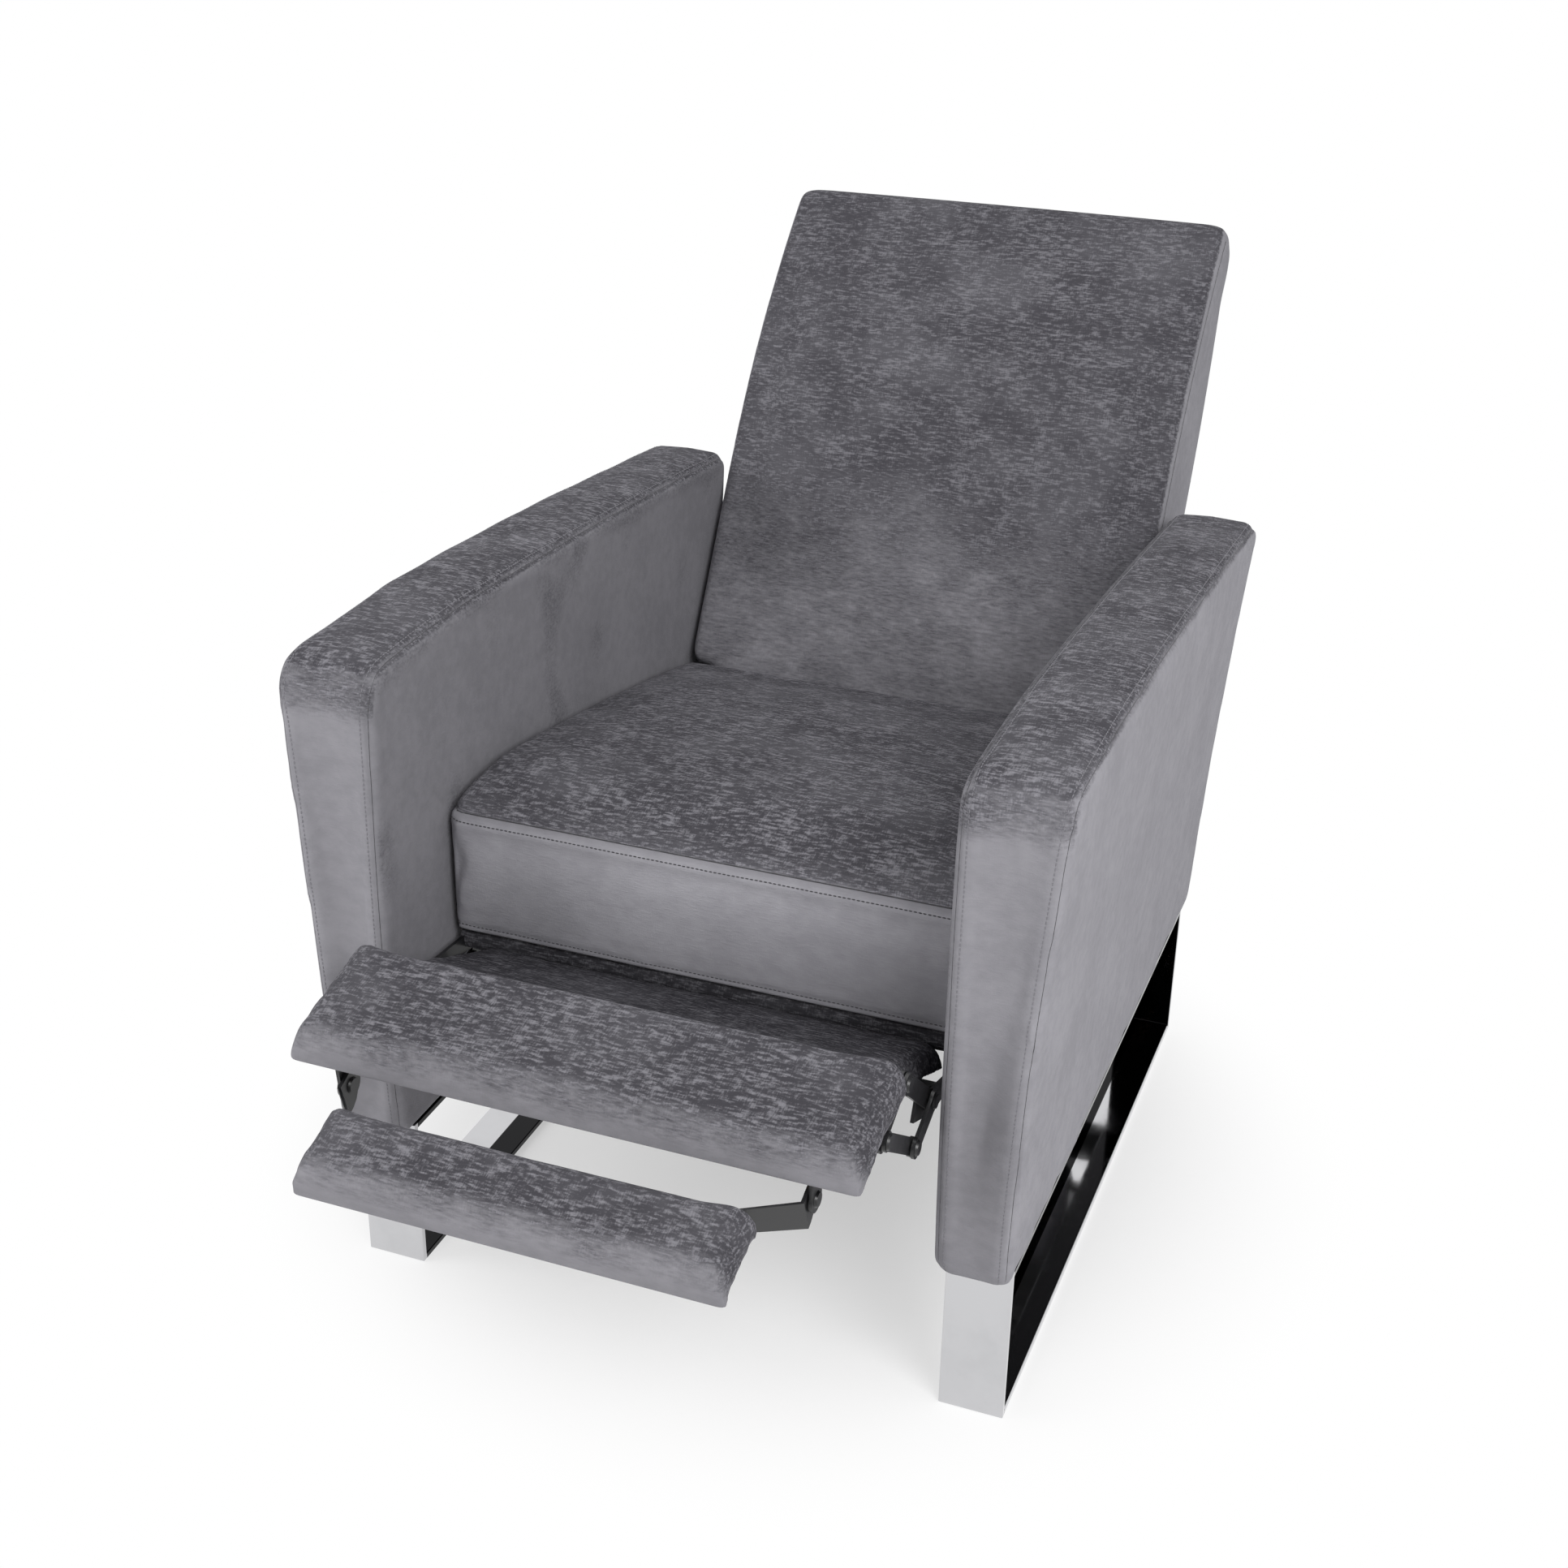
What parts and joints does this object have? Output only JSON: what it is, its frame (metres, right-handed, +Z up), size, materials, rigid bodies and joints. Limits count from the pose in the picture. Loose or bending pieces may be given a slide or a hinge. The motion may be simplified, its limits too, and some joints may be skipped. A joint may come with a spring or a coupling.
{
  "type": "push-back recliner",
  "caption": "Push-back recliner with track arms on chrome loop legs, a leaning back and a boarded footrest on a steel linkage.",
  "frame": {"origin": "on the floor, on the centre plane, midway between the front and rear ends of the leg loops", "axes": "+Z up, -Y to the front of the chair, +X to the sitter's left"},
  "size_m": [0.6978, 1.2978, 0.8497],
  "materials": {
    "chrome": "polished flat bar",
    "black_steel": "satin black paint",
    "bolts": "zinc plated",
    "timber": "planed and unfinished",
    "arm_fabric": "crushed grey velvet",
    "seat_fabric": "crushed grey velvet",
    "back_fabric": "crushed grey velvet",
    "footrest_fabric": "crushed grey velvet",
    "lining_fabric": "dark grey velvet in shade",
    "webbing": "woven elastic"
  },
  "bodies": {
    "base": {"leg_loop_left": "chrome", "leg_loop_right": "chrome", "leg_screws": "bolts", "arm_frame_left": "timber", "arm_frame_right": "timber", "arm_cover_left": "arm_fabric", "arm_cover_right": "arm_fabric", "front_rail": "timber", "rear_rail": "timber", "side_plate_left": "black_steel", "side_plate_right": "black_steel", "hinge_arm_left": "black_steel", "hinge_arm_right": "black_steel", "plate_bolts": "bolts", "base_rivets": "black_steel", "seat_frame": "timber", "seat_springs": "bolts", "seat_cushion": "seat_fabric"},
    "back": {"back_frame": "timber", "back_webbing": "webbing", "back_cushion": "back_fabric", "back_panel": "back_fabric", "back_bracket_left": "black_steel", "back_bracket_right": "black_steel", "back_rivets": "black_steel"},
    "rear_link": {"rear_link_left": "black_steel", "rear_link_right": "black_steel", "drive_tube": "black_steel", "rear_link_rivets": "black_steel"},
    "front_link": {"front_link_left": "black_steel", "front_link_right": "black_steel", "front_link_rivets": "black_steel"},
    "upper_link": {"upper_link_left": "black_steel", "upper_link_right": "black_steel", "upper_link_rivets": "black_steel", "middle_board": "timber", "middle_cushion": "lining_fabric"},
    "lower_link": {"lower_link_left": "black_steel", "lower_link_right": "black_steel"},
    "footrest": {"footrest_bracket_left": "black_steel", "footrest_bracket_right": "black_steel", "footrest_rivets": "black_steel", "footrest_board": "timber", "footrest_cushion": "footrest_fabric"},
    "flipper": {"flipper_bracket_left": "black_steel", "flipper_bracket_right": "black_steel", "flipper_board": "timber", "flipper_cushion": "footrest_fabric"},
    "drive_rod": {"drive_rod_left": "black_steel", "drive_rod_right": "black_steel", "drive_rod_rivets": "black_steel"}
  },
  "joints": [
    {"name": "back_recline", "type": "hinge", "parent": "base", "child": "back", "pos_m": [0, 0.33954, 0.35905], "axis": [1, 0, 0], "range_deg": [0, 22]},
    {"name": "rear_link_swing", "type": "hinge", "parent": "base", "child": "rear_link", "pos_m": [0, -0.126, 0.358], "axis": [1, 0, 0], "range_deg": [0, 83.95]},
    {"name": "front_link_swing", "type": "hinge", "parent": "base", "child": "front_link", "pos_m": [0, -0.226, 0.388], "axis": [1, 0, 0], "range_deg": [0, 83.95]},
    {"name": "upper_link_level", "type": "hinge", "parent": "front_link", "child": "upper_link", "pos_m": [0, -0.354, 0.32], "axis": [1, 0, 0], "range_deg": [-83.95, 0]},
    {"name": "lower_link_swing", "type": "hinge", "parent": "front_link", "child": "lower_link", "pos_m": [0, -0.399, 0.303], "axis": [1, 0, 0], "range_deg": [-85.07, 0]},
    {"name": "footrest_fold", "type": "hinge", "parent": "upper_link", "child": "footrest", "pos_m": [0, -0.417, 0.374], "axis": [1, 0, 0], "range_deg": [0, 75.75]},
    {"name": "flipper_fold", "type": "hinge", "parent": "footrest", "child": "flipper", "pos_m": [0, -0.531, 0.333], "axis": [1, 0, 0], "range_deg": [0, 108.05]},
    {"name": "drive_rod_pivot", "type": "hinge", "parent": "back", "child": "drive_rod", "pos_m": [0, 0.31626, 0.23929], "axis": [1, 0, 0], "range_deg": [-22.05, 0]}
  ],
  "couplings": [
    {"joint": "rear_link_swing", "follows": "back_recline", "ratio": 3.8136},
    {"joint": "front_link_swing", "follows": "back_recline", "ratio": 3.8136},
    {"joint": "upper_link_level", "follows": "back_recline", "ratio": -3.8136},
    {"joint": "lower_link_swing", "follows": "back_recline", "ratio": -3.8645},
    {"joint": "footrest_fold", "follows": "back_recline", "ratio": 3.4409},
    {"joint": "flipper_fold", "follows": "back_recline", "ratio": 4.909},
    {"joint": "drive_rod_pivot", "follows": "back_recline", "ratio": -1}
  ]
}
